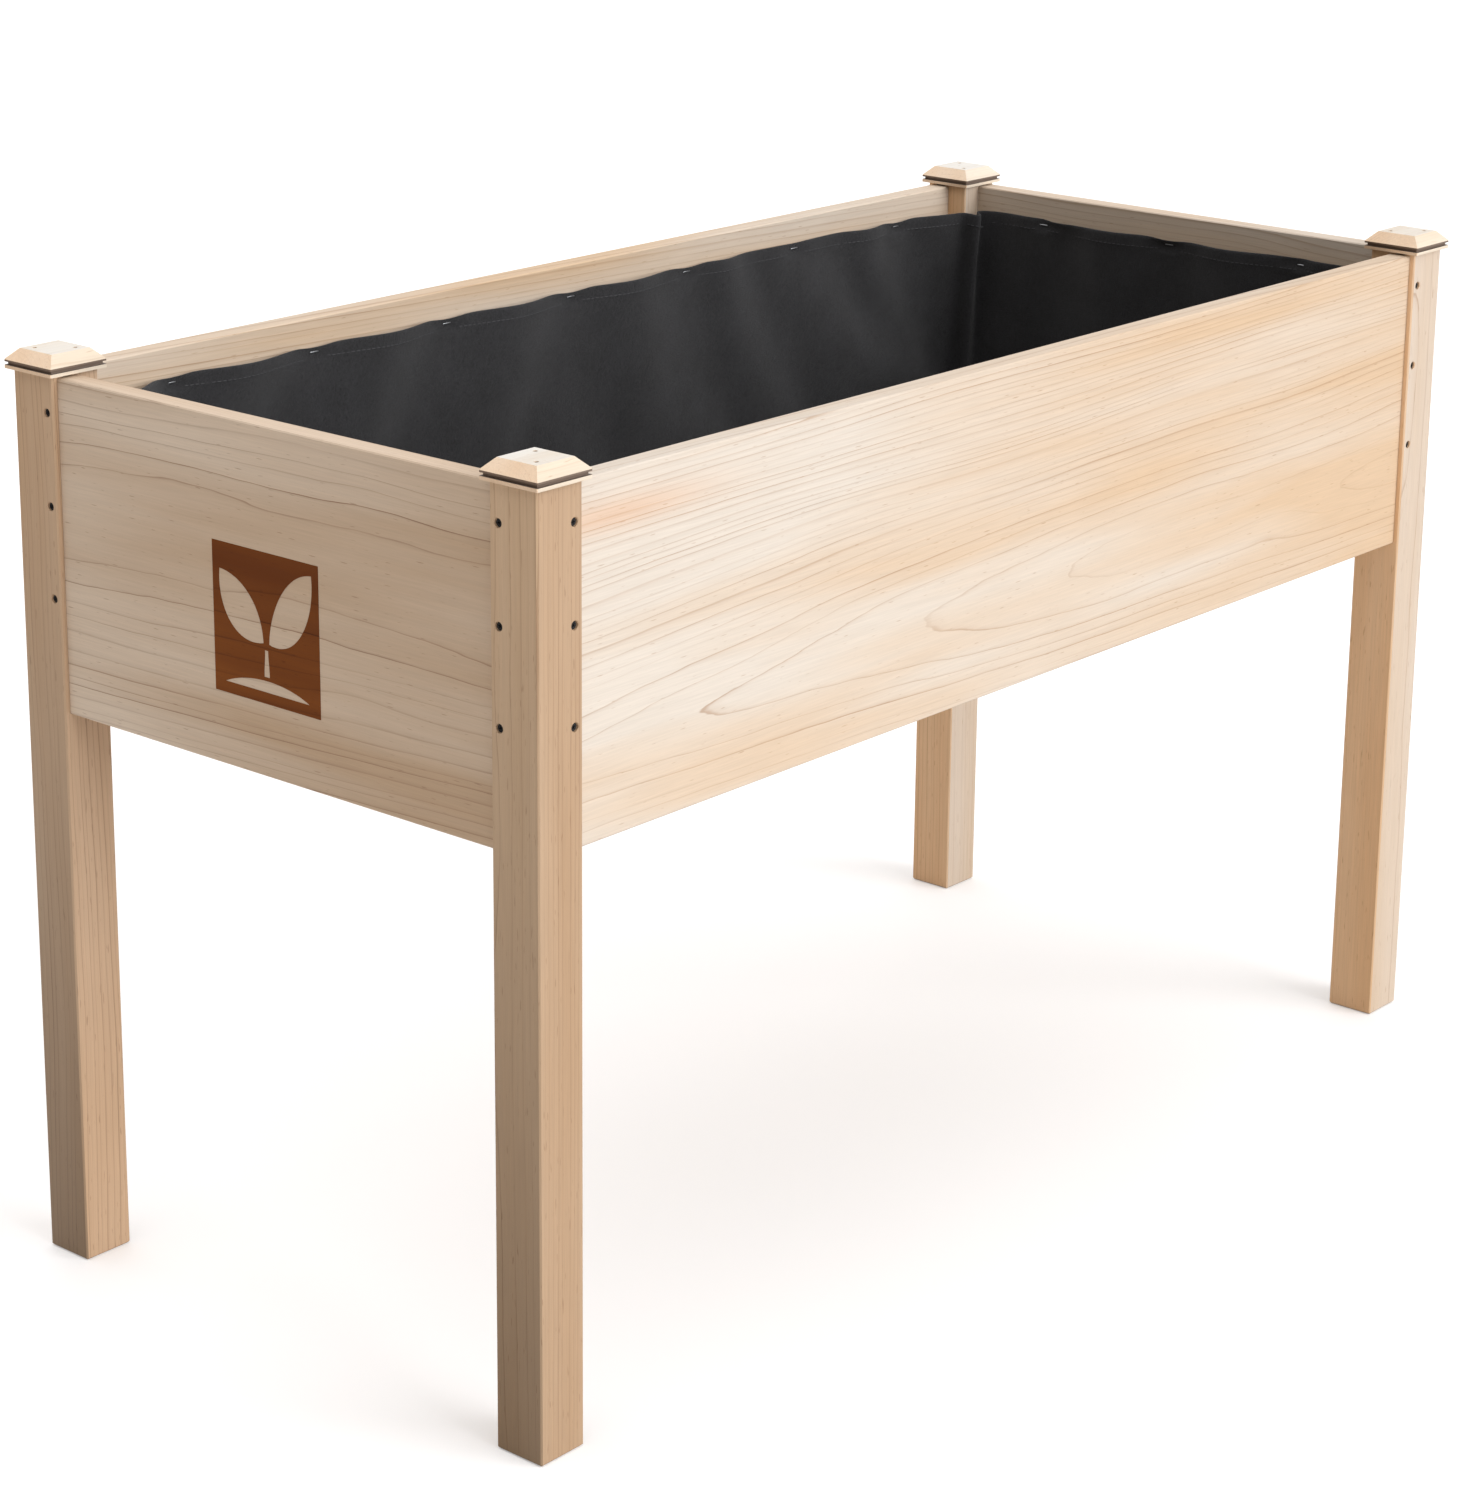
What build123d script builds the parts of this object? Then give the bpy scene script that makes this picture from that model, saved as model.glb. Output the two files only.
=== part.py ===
from build123d import *
import os

# Raised planter on four legs, in millimetres.
# The origin is on the floor under the middle. X runs along the length, Y across the width, Z up.
# The front is the long side at -Y, and the marked end panel is the short side at -X.

# Overall size, over the post caps
length = 1220
width = 570
height = 762

# Post caps
cap_over = 5  # overhang past the post on every side
cap_edge = 7  # upright edge below the bevel
cap_bevel = 9  # 45 degree bevel, in and up
cap_ease = 0.6
quirk_low = 2.8  # the groove that runs round the upright edge starts this high
quirk_high = 2.6
quirk_deep = 2.2

# Corner posts
post = 46
post_ease = 1.2
foot_ease = 1.5

# Side panels
panel_thick = 20
panel_high = 272
panel_set = 5  # outer face behind the post's outer face
panel_drop = 2  # top edge below the post's top
panel_ease = 1.0
tongue = 15  # how far a panel's end goes into the post
tongue_thick = 10
shoulder_gap = 0.3  # between a panel's shoulder and the post
groove_gap = 0.15  # clearance on each side of a tongue
groove_spare = 0.5  # clearance past a tongue's end

# Panel screws: bored from the post's two outer faces, through the tongue
screw_edge = 8  # from the post's inner edge
screw_drops = (30, 105, 180)  # below the post's top
screw_head = 6.3
screw_head_high = 2.6
screw_shank = 3.6
screw_long = 27
bore = 6.9
bore_deep = 1.8
bore_ease = 0.6

# Floor: battens round the inside, slats across them
rail_thick = 20
rail_high = 30
rail_gap = 1.5  # clearance of a batten's end to the post or the next batten
rail_up = 3  # above the panels' lower edges
rail_ease = 0.8
slat_count = 12
slat_gap = 6
slat_thick = 12
slat_side = 1  # clearance of a slat's end to the panel
slat_post = 1.5  # clearance of a notch round a post
slat_ease = 1.0

# Fasteners of the floor
rail_screw_head = 7.6
rail_screw_shank = 3.8
rail_screw_long = 34
rail_screw_x = (-500, -250, 0, 250, 500)  # places along a long batten
rail_screw_y = (-170, 0, 170)  # places along a short one
slat_nail_head = 5
slat_nail_shank = 2.2
slat_nail_long = 32
slat_nail_off = 22  # from the slat's middle
cap_nail = 3.6
cap_nail_long = 38
cap_nail_sink = 0.6
cap_nail_off = 11  # from the cap's middle, along X and along Y
play = 0.2  # a hole is this much wider than what sits in it
seat_spare = 0.4  # clearance under a head
tip_spare = 0.5  # clearance past a tip
screw_point = 4  # length of a screw's or a cap nail's point
screw_rim = 0.3  # upright rim of a flat head
rail_screw_head_high = 2.8
rail_screw_sink = 0.2
rail_screw_seat = 0.6  # straight part of its hole, before the cone
slat_nail_head_high = 0.9
slat_nail_point = 3
recess_wide = 0.9  # arms of the cross recess
recess_deep = 1.4

# Liner
liner_thick = 2
liner_gap = 0.6  # between the liner and the wood
liner_below_rim = 20
staple_wide = 11
staple_wire = 1.2
staple_leg = 7
staple_down = 8  # below the liner's top edge
staple_x_places = (-470, -313, -157, 0, 157, 313, 470)
staple_y_places = (-150, 0, 150)

# What follows from them
post_long = length - 2 * cap_over
post_wide = width - 2 * cap_over
cap_size = post + 2 * cap_over
cap_thick = cap_edge + cap_bevel
post_high = height - cap_thick
post_x = (post_long - post) / 2  # middle of a post
post_y = (post_wide - post) / 2
rim = post_high - panel_drop  # top of the panels
panel_low = rim - panel_high
face_x = post_long / 2 - panel_set  # outer faces of the panels
face_y = post_wide / 2 - panel_set
wall_x = face_x - panel_thick  # inner faces of the panels
wall_y = face_y - panel_thick
core_x = face_x - panel_thick / 2  # middle plane of an end panel
core_y = face_y - panel_thick / 2
bay_x = post_x - post / 2  # inner faces of the posts
bay_y = post_y - post / 2
rail_low = panel_low + rail_up
slat_low = rail_low + rail_high
slat_top = slat_low + slat_thick

corners = {
    "front_left": (-1, -1),
    "front_right": (1, -1),
    "rear_left": (-1, 1),
    "rear_right": (1, 1),
}

os.makedirs("parts", exist_ok=True)


def block(x0, x1, y0, y1, z0, z1):
    return Pos((x0 + x1) / 2, (y0 + y1) / 2, (z0 + z1) / 2) * Box(x1 - x0, y1 - y0, z1 - z0)


def rod(point, direction, diameter, long):
    """A cylinder from a point along a direction."""
    return Plane(origin=point, z_dir=direction) * Cylinder(
        diameter / 2, long, align=(Align.CENTER, Align.CENTER, Align.MIN)
    )


def cone(point, direction, wide, narrow, long):
    """A cone that narrows from a point along a direction."""
    return Plane(origin=point, z_dir=direction) * Cone(
        wide / 2, narrow / 2, long, align=(Align.CENTER, Align.CENTER, Align.MIN)
    )


def save(shape, name):
    shape.label = name
    export_step(shape, f"parts/{name}.step")


def screw(point, direction, head, head_high, shank, long):
    """A flat-headed screw with a cross recess. The point is the middle of its head's top."""
    plane = Plane(origin=point, z_dir=direction)
    profile = make_face(
        Polyline(
            (0, 0),
            (head / 2, 0),
            (head / 2, screw_rim),
            (shank / 2, head_high),
            (shank / 2, long - screw_point),
            (0.3, long),
            (0, long),
            close=True,
        )
    )
    body = plane * revolve(Plane.XZ * profile, Axis.Z, 360)
    for turn in (45, 135):
        arm = Pos(0, 0, recess_deep / 2) * Rot(0, 0, turn) * Box(head * 0.56, recess_wide, recess_deep)
        body -= plane * arm
    return body


# Every screw that goes through a post's outer face: start on the face, direction inwards
def panel_screw_lines(sx, sy):
    lines = []
    for drop in screw_drops:
        z = post_high - drop
        face_at_x = sx * post_long / 2
        face_at_y = sy * post_wide / 2
        lines.append(((sx * (bay_x + screw_edge), face_at_y, z), (0, -sy, 0)))
        lines.append(((face_at_x, sy * (bay_y + screw_edge), z), (-sx, 0, 0)))
    return lines


def along(point, direction, distance):
    return tuple(p + d * distance for p, d in zip(point, direction))


def cut_screw_holes(shape, wood_from_bore):
    """Takes the panel screws' holes out of a shape: the wide bore only where the shape is a post."""
    for sx, sy in corners.values():
        for point, direction in panel_screw_lines(sx, sy):
            seat = along(point, direction, bore_deep)
            if wood_from_bore:
                shape -= rod(along(point, direction, -1), direction, bore, bore_deep + 1)
                shape -= cone(point, direction, bore + 2 * bore_ease, bore, bore_ease)
                shape -= cone(seat, direction, bore, screw_shank + play, screw_head_high + seat_spare)
            shape -= rod(seat, direction, screw_shank + play, screw_long + tip_spare)
    return shape


# Screws of the battens: start on the batten's inner face, direction outwards
rail_screw_lines = []
for sy in (-1, 1):
    for x in rail_screw_x:
        start = (x, sy * (wall_y - rail_thick), rail_low + rail_high / 2)
        rail_screw_lines.append((start, (0, sy, 0)))
for sx in (-1, 1):
    for y in rail_screw_y:
        start = (sx * (wall_x - rail_thick), y, rail_low + rail_high / 2)
        rail_screw_lines.append((start, (sx, 0, 0)))


def cut_rail_screw_holes(shape):
    for point, direction in rail_screw_lines:
        seat = along(point, direction, rail_screw_seat)
        shape -= rod(along(point, direction, -1), direction, rail_screw_head + play, rail_screw_seat + 1)
        shape -= cone(
            seat, direction, rail_screw_head + play, rail_screw_shank + play, rail_screw_head_high + 0.1
        )
        shape -= rod(point, direction, rail_screw_shank + play, rail_screw_long + tip_spare)
    return shape


# Slats: places along X, nails over both long battens
slat_wide = (2 * wall_x - 2 * slat_side - (slat_count - 1) * slat_gap) / slat_count
slat_middles = [
    -wall_x + slat_side + slat_wide / 2 + i * (slat_wide + slat_gap) for i in range(slat_count)
]
nail_y = wall_y - rail_thick / 2
nail_points = []
for i, middle in enumerate(slat_middles):
    for sy in (-1, 1):
        for dx in (-slat_nail_off, slat_nail_off):
            x = middle + dx
            if i in (0, slat_count - 1) and abs(x) > bay_x - 6:
                x = middle - dx * 0.1  # clear of the notch round the post
            nail_points.append((x, sy * nail_y, slat_top))


def cut_nail_holes(shape):
    for x, y, z in nail_points:
        over = (x, y, z + 1)
        shape -= rod(over, (0, 0, -1), slat_nail_shank + play, slat_nail_long + 1 + tip_spare)
        shape -= rod(over, (0, 0, -1), slat_nail_head + play, slat_nail_head_high + 1.1)
    return shape


# Cap nails: two on each cap, on the diagonal that points to the planter's middle
cap_nail_points = []
for sx, sy in corners.values():
    for side in (-1, 1):
        x = sx * post_x + side * sx * cap_nail_off
        y = sy * post_y + side * sy * cap_nail_off
        cap_nail_points.append((x, y, height - cap_nail_sink))


def cut_cap_nail_holes(shape, mouth=False):
    for x, y, z in cap_nail_points:
        shape -= rod((x, y, z), (0, 0, -1), cap_nail + play, cap_nail_long + tip_spare)
        if mouth:
            shape -= rod((x, y, z + 2), (0, 0, -1), cap_nail + play, 3)
    return shape


# Staples along the liner's top edge: place and turn, legs along their own +Y
liner_top = rim - liner_below_rim
staple_z = liner_top - staple_down
staple_y = wall_y - liner_gap - liner_thick - staple_wire / 2
staple_x = wall_x - liner_gap - liner_thick - staple_wire / 2
staple_places = []
for x in staple_x_places:
    staple_places.append(Pos(x, staple_y, staple_z))
    staple_places.append(Pos(x, -staple_y, staple_z) * Rot(0, 0, 180))
for y in staple_y_places:
    staple_places.append(Pos(staple_x, y, staple_z) * Rot(0, 0, -90))
    staple_places.append(Pos(-staple_x, y, staple_z) * Rot(0, 0, 90))


def staple_legs(wire, leg):
    legs = []
    for side in (-1, 1):
        middle = side * (staple_wide - staple_wire) / 2
        legs.append(Pos(middle, leg / 2, 0) * Box(wire, leg, wire))
    return legs


def cut_staple_slots(shape):
    for place in staple_places:
        for leg in staple_legs(staple_wire + play, staple_leg + 0.4):
            shape -= place * leg
    return shape


def outer_edges(shape, direction, size):
    """Eases every edge that runs along one axis."""
    return chamfer(shape.edges().filter_by(direction), size)


# Posts
groove_wide = tongue_thick + 2 * groove_gap
for name, (sx, sy) in corners.items():
    leg = Pos(sx * post_x, sy * post_y, post_high / 2) * Box(post, post, post_high)
    leg = outer_edges(leg, Axis.Z, post_ease)
    leg = chamfer(leg.faces().sort_by(Axis.Z)[0].edges(), foot_ease)
    in_x = sorted((sx * (bay_x - 1), sx * (bay_x + tongue + groove_spare)))
    in_y = sorted((sy * (bay_y - 1), sy * (bay_y + tongue + groove_spare)))
    low = panel_low - shoulder_gap
    mid_x = sx * core_x
    mid_y = sy * core_y
    leg -= block(*in_x, mid_y - groove_wide / 2, mid_y + groove_wide / 2, low, post_high + 1)
    leg -= block(mid_x - groove_wide / 2, mid_x + groove_wide / 2, *in_y, low, post_high + 1)
    leg = cut_screw_holes(leg, True)
    leg = cut_cap_nail_holes(leg)
    save(leg, f"post_{name}")

# Caps: upright edge with a groove round it, then the bevel
for name, (sx, sy) in corners.items():
    cap = Pos(0, 0, cap_thick / 2) * Box(cap_size, cap_size, cap_thick)
    cap = chamfer(cap.faces().sort_by(Axis.Z)[-1].edges(), cap_bevel)
    cap = outer_edges(cap, Axis.Z, cap_ease)
    quirk = Pos(0, 0, quirk_low + quirk_high / 2)
    inner = cap_size - 2 * quirk_deep
    ring = quirk * Box(cap_size + 4, cap_size + 4, quirk_high)
    ring -= quirk * Box(inner, inner, quirk_high * 2)
    cap -= ring
    cap = Pos(sx * post_x, sy * post_y, post_high) * cap
    cap = cut_cap_nail_holes(cap, mouth=True)
    save(cap, f"cap_{name}")


def side_panel(across_x, side):
    """One wide board with a thinner tongue at each end. across_x is true for the long ones."""
    bay = bay_x if across_x else bay_y
    body_x = 2 * (bay - shoulder_gap)
    body = Box(body_x, panel_thick, panel_high)
    body = chamfer(body.edges().filter_by(Axis.X), panel_ease)
    body += Box(2 * (bay + tongue), tongue_thick, panel_high)
    if across_x:
        body = Pos(0, side * core_y, (rim + panel_low) / 2) * body
    else:
        body = Pos(side * core_x, 0, (rim + panel_low) / 2) * Rot(0, 0, 90) * body
    body = cut_screw_holes(body, False)
    return cut_staple_slots(cut_rail_screw_holes(body))


for name, across_x, side in (
    ("front", True, -1),
    ("rear", True, 1),
    ("left", False, -1),
    ("right", False, 1),
):
    save(side_panel(across_x, side), f"panel_{name}")

# Battens
for name, side in (("front", -1), ("rear", 1)):
    inner_y, outer_y = side * (wall_y - rail_thick), side * wall_y
    rail = block(
        -(bay_x - rail_gap),
        bay_x - rail_gap,
        min(inner_y, outer_y),
        max(inner_y, outer_y),
        rail_low,
        rail_low + rail_high,
    )
    rail = chamfer(rail.edges().filter_by(Axis.X), rail_ease)
    save(cut_nail_holes(cut_rail_screw_holes(rail)), f"rail_{name}")

for name, side in (("left", -1), ("right", 1)):
    inner_x, outer_x = side * (wall_x - rail_thick), side * wall_x
    rail = block(
        min(inner_x, outer_x),
        max(inner_x, outer_x),
        -(bay_y - rail_gap),
        bay_y - rail_gap,
        rail_low,
        rail_low + rail_high,
    )
    rail = chamfer(rail.edges().filter_by(Axis.Y), rail_ease)
    save(cut_rail_screw_holes(rail), f"rail_{name}")

# Floor slats, the two at the ends notched round the posts
for i, middle in enumerate(slat_middles):
    reach = wall_y - slat_side
    slat = Pos(middle, 0, slat_low + slat_thick / 2) * Box(slat_wide, 2 * reach, slat_thick)
    slat = chamfer(slat.edges().filter_by(Axis.Y), slat_ease)
    if i in (0, slat_count - 1):
        for sx, sy in corners.values():
            around = post + 2 * slat_post
            slat -= Pos(sx * post_x, sy * post_y, slat_low) * Box(around, around, 4 * slat_thick)
    slat = cut_nail_holes(slat)
    save(slat, f"slat_{i + 1:02d}")

# Liner: a thin open bag along the walls and round the posts
liner_low = slat_top + 0.5


def liner_solid(shrink, low, top):
    """The space inside the walls, less the posts, drawn in by a distance."""
    half_x = wall_x - liner_gap - shrink
    half_y = wall_y - liner_gap - shrink
    shape = block(-half_x, half_x, -half_y, half_y, low, top)
    around = post + 2 * (liner_gap + shrink)
    for sx, sy in corners.values():
        shape -= Pos(sx * post_x, sy * post_y, (low + top) / 2) * Box(around, around, top - low + 10)
    return shape


bag = liner_solid(0, liner_low, liner_top)
bag -= liner_solid(liner_thick, liner_low + liner_thick, liner_top + 1)
save(cut_staple_slots(bag), "liner")

# Panel screws
heads = []
for sx, sy in corners.values():
    for point, direction in panel_screw_lines(sx, sy):
        start = along(point, direction, bore_deep)
        heads.append(screw(start, direction, screw_head, screw_head_high, screw_shank, screw_long))
save(Compound(children=heads), "panel_screws")

# Batten screws
heads = [
    screw(
        along(point, direction, rail_screw_sink),
        direction,
        rail_screw_head,
        rail_screw_head_high,
        rail_screw_shank,
        rail_screw_long,
    )
    for point, direction in rail_screw_lines
]
save(Compound(children=heads), "rail_screws")

# Slat nails
nails = []
for x, y, z in nail_points:
    nail = rod((x, y, z), (0, 0, -1), slat_nail_head, slat_nail_head_high)
    nail += rod((x, y, z), (0, 0, -1), slat_nail_shank, slat_nail_long - slat_nail_point)
    tip_at = (x, y, z - slat_nail_long + slat_nail_point)
    nail += cone(tip_at, (0, 0, -1), slat_nail_shank, 0.5, slat_nail_point)
    nails.append(nail)
save(Compound(children=nails), "slat_nails")

# Cap nails
nails = []
for point in cap_nail_points:
    nail = rod(point, (0, 0, -1), cap_nail, cap_nail_long - screw_point)
    tip_at = along(point, (0, 0, -1), cap_nail_long - screw_point)
    nail += cone(tip_at, (0, 0, -1), cap_nail, 0.6, screw_point)
    nails.append(nail)
save(Compound(children=nails), "cap_nails")

# Staples
crown = Box(staple_wide, staple_wire, staple_wire)
staples = [place * (crown + staple_legs(staple_wire, staple_leg)) for place in staple_places]
save(Compound(children=staples), "liner_staples")
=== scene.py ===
import math
import random

import bmesh
import bpy
from mathutils import Matrix, Quaternion, Vector, geometry


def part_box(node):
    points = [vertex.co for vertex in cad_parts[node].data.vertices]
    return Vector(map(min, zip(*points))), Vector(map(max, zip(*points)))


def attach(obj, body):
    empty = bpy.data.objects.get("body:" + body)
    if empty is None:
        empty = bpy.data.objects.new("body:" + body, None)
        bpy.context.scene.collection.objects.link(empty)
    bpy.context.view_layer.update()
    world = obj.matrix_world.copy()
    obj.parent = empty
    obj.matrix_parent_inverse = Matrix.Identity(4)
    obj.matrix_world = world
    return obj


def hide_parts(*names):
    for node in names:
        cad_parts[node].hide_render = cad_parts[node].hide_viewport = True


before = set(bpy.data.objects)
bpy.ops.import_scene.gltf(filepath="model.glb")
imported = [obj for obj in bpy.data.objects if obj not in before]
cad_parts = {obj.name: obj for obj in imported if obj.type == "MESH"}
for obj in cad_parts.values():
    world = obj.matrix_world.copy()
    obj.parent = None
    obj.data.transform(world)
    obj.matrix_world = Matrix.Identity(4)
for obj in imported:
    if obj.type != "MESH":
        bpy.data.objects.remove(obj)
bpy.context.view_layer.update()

# Raised planter on legs, in metres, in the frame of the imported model.
# X runs along the length, Y across the width, Z up. The marked end panel is at -X, the front at -Y.

mm = 0.001


def linear(hexColour):
    channels = [int(hexColour[i:i + 2], 16) / 255 for i in (1, 3, 5)]
    return [c / 12.92 if c <= 0.04045 else ((c + 0.055) / 1.055) ** 2.4 for c in channels] + [1.0]


def addNode(tree, kind, inputs=None, **settings):
    node = tree.nodes.new(kind)
    for name, value in settings.items():
        setattr(node, name, value)
    for key, value in (inputs or {}).items():
        socket = node.inputs[key]
        if isinstance(value, bpy.types.Node):
            value = value.outputs[0]  # a node stands for its first output
        if isinstance(value, bpy.types.NodeSocket):
            tree.links.new(value, socket)
        else:
            socket.default_value = value
    return node


def setRamp(node, stops):
    ramp = node.color_ramp
    while len(ramp.elements) > len(stops):
        ramp.elements.remove(ramp.elements[-1])
    while len(ramp.elements) < len(stops):
        ramp.elements.new(1.0)
    for element, (place, value) in zip(ramp.elements, stops):
        element.position = place
        element.color = (value, value, value, 1)
    return node.outputs["Color"]


def newMaterial(name):
    material = bpy.data.materials.new(name)
    material.use_nodes = True
    tree = material.node_tree
    tree.nodes.clear()
    return material, tree


camera = {
    "place": (-2.411, -1.994, 1.393),
    "turn": (74.23, -0.58, -49.57),  # degrees; nearly level, a little down
    "lens": 90,
    "shiftY": -0.12,  # keeps the uprights nearer to parallel, as a rising front does
}


def makeCamera():
    data = bpy.data.cameras.new("camera")
    data.lens = camera["lens"]
    data.sensor_width = 36
    data.shift_y = camera["shiftY"]
    body = bpy.data.objects.new("camera", data)
    body.location = camera["place"]
    body.rotation_euler = [math.radians(a) for a in camera["turn"]]
    bpy.context.scene.collection.objects.link(body)
    bpy.context.scene.camera = body
    print("camera:", camera["lens"], "mm lens")


studio = {
    "sky": 0.34,  # even light from all round
    "skyColour": "#fff6ee",
    "suns": {  # where each light comes from, its strength, and how many degrees across it is
        "key": ((0.22, -1.0, 0.42), 2.3, 50),
        "low fill": ((0.1, -1.0, 0.08), 0.75, 50),
        "top": ((0, 0, 1), 1.9, 95),
        "back": ((0.4, 1.0, 0.5), 0.7, 80),
    },
    "sunColour": "#fdfdff",
    "floorSeen": "#e2e2e2",
    "floorBounce": "#d8d6d4",  # what the floor gives back to the planter
    "floorGlow": 0.28,  # the paper is lit from behind as well, so its shadows stay pale
    "floorHalf": 60,  # metres
}


def makeSun(name, comesFrom, strength, soft):
    data = bpy.data.lights.new(name, "SUN")
    data.energy = strength
    data.angle = math.radians(soft)
    data.color = linear(studio["sunColour"])[:3]
    sun = bpy.data.objects.new(name, data)
    sun.rotation_euler = Vector(comesFrom).to_track_quat("Z", "Y").to_euler()
    bpy.context.scene.collection.objects.link(sun)


def makeStudio():
    world = bpy.data.worlds.new("studio")
    bpy.context.scene.world = world
    world.use_nodes = True
    tree = world.node_tree
    tree.nodes.clear()
    rays = addNode(tree, "ShaderNodeLightPath")
    lit = addNode(
        tree, "ShaderNodeBackground", {"Color": linear(studio["skyColour"]), "Strength": studio["sky"]}
    )
    seen = addNode(tree, "ShaderNodeBackground", {"Color": (1, 1, 1, 1), "Strength": 1.0})
    both = addNode(tree, "ShaderNodeMixShader", {0: rays.outputs["Is Camera Ray"], 1: lit, 2: seen})
    addNode(tree, "ShaderNodeOutputWorld", {"Surface": both})
    for name, (comesFrom, strength, soft) in studio["suns"].items():
        makeSun(name, comesFrom, strength, soft)

    half = studio["floorHalf"]
    mesh = bpy.data.meshes.new("floor")
    corners = [(-half, -half), (half, -half), (half, half), (-half, half)]
    mesh.from_pydata([(x, y, -0.4 * mm) for x, y in corners], [], [(0, 1, 2, 3)])
    floor = bpy.data.objects.new("floor", mesh)
    bpy.context.scene.collection.objects.link(floor)
    # Matt seamless paper: even, with no gloss
    paper, tree = newMaterial("matt paper, pale")
    rays = addNode(tree, "ShaderNodeLightPath")
    bounced = addNode(tree, "ShaderNodeBsdfDiffuse", {"Color": linear(studio["floorBounce"])})
    seen = addNode(
        tree,
        "ShaderNodeBsdfPrincipled",
        {
            "Base Color": linear(studio["floorSeen"]),
            "Roughness": 0.95,
            "Specular IOR Level": 0.1,
            "Emission Color": (1, 1, 1, 1),
            "Emission Strength": studio["floorGlow"],
        },
    )
    both = addNode(tree, "ShaderNodeMixShader", {0: rays.outputs["Is Camera Ray"], 1: bounced, 2: seen})
    addNode(tree, "ShaderNodeOutputMaterial", {"Surface": both})
    mesh.materials.append(paper)
    bpy.context.scene.view_settings.view_transform = "Standard"
    print("studio:", len(studio["suns"]), "suns")


# Planed fir: pale, with thin brown latewood lines that part into arches where a board is cut flat
# to the rings and run close together where it is cut across them.


# How often each noise of the grain turns in a metre (along, across, through), and its detail
grainNoise = {
    "shiver": ((9, 60, 60), 3.0),  # small waves of each ring
    "fade": ((5, 40, 40), 2.0),  # a line comes and goes along its length
    "band": ((1.6, 18, 18), 2.5),  # broad bands of tone, 50 mm wide and half a metre long
    "fibre": ((22, 820, 820), 3.0),  # fibres are 0.03 mm; 1.2 mm wide here, so that they show
    "fleck": ((90, 800, 800), 0.0),  # resin flecks, short brown dashes
}


ringShape = {
    "shiver": 0.8 * mm,  # how far the small waves move a ring
    "uneven": 1.6,  # how far a ring's width strays, in rings
    "unevenRate": 0.34,  # how often it does, in each ring
    "leastSlant": 0.22,  # a cut flatter to the rings than this draws its lines no wider
    "faintest": 0.22,  # strength of the palest line
    "fleck": 0.4,  # strength of a resin fleck
    "proud": 0.25 * mm,  # how far latewood stands out after planing
}


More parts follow.
